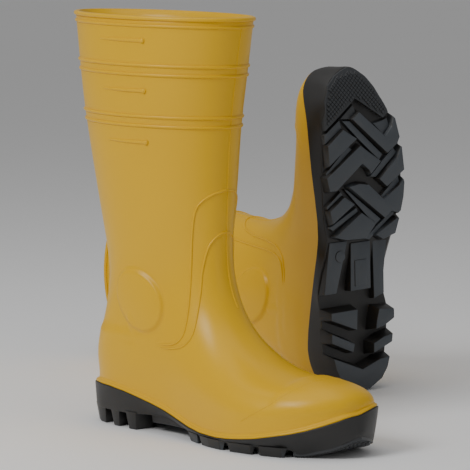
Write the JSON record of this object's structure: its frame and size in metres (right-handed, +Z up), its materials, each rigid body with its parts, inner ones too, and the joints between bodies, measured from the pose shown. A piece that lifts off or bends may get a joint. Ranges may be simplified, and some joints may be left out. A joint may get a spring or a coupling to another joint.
{
  "type": "pair of deck boots",
  "caption": "Pair of tall yellow moulded deck boots with cleated black soles, a steel toe and sole plate, a knitted lining and loose footbeds; one stands and one lies on its back.",
  "frame": {"origin": "on the ground under the middle of the right boot's rear heel lug", "axes": "+X from the right boot's heel to its toe, +Y to the wearer's left towards the left boot, +Z up the leg"},
  "size_m": [0.6012, 0.4313, 0.3685],
  "materials": {
    "pvc_yellow": "glossy moulded PVC",
    "lining_knit": "knitted sock lining",
    "steel": "pressed steel",
    "edge_rubber": "soft rubber strip",
    "board": "fibre board",
    "pad_foam": "closed-cell foam",
    "footbed_felt": "felt-topped foam",
    "heel_core": "light filler",
    "sole_black": "satin moulded sole compound"
  },
  "bodies": {
    "right_boot": {"right_upper": "pvc_yellow", "right_lining": "lining_knit", "right_toe_cap": "steel", "right_toe_cap_edge": "edge_rubber", "right_sole_plate": "steel", "right_insole_board": "board", "right_ankle_pad_inner": "pad_foam", "right_ankle_pad_outer": "pad_foam", "right_heel_core": "heel_core", "right_outsole": "sole_black"},
    "right_footbed": {"right_footbed": "footbed_felt"},
    "left_boot": {"left_upper": "pvc_yellow", "left_lining": "lining_knit", "left_toe_cap": "steel", "left_toe_cap_edge": "edge_rubber", "left_sole_plate": "steel", "left_insole_board": "board", "left_ankle_pad_inner": "pad_foam", "left_ankle_pad_outer": "pad_foam", "left_heel_core": "heel_core", "left_outsole": "sole_black"},
    "left_footbed": {"left_footbed": "footbed_felt"}
  },
  "joints": [
    {"name": "right_footbed_lift", "type": "hinge", "parent": "right_boot", "child": "right_footbed", "pos_m": [0.275, 0, 0.037], "axis": [0, 1, 0], "range_deg": [0, 8]},
    {"name": "left_boot_stand", "type": "hinge", "parent": "right_boot", "child": "left_boot", "pos_m": [0.06, 0.258, 0], "axis": [0.1343, 0.9905, 0.03], "range_deg": [0, 87.6]},
    {"name": "left_footbed_lift", "type": "hinge", "parent": "left_boot", "child": "left_footbed", "pos_m": [0.03282, 0.24512, 0.28781], "axis": [0.165, 0.9845, 0.0596], "range_deg": [0, 8]}
  ]
}
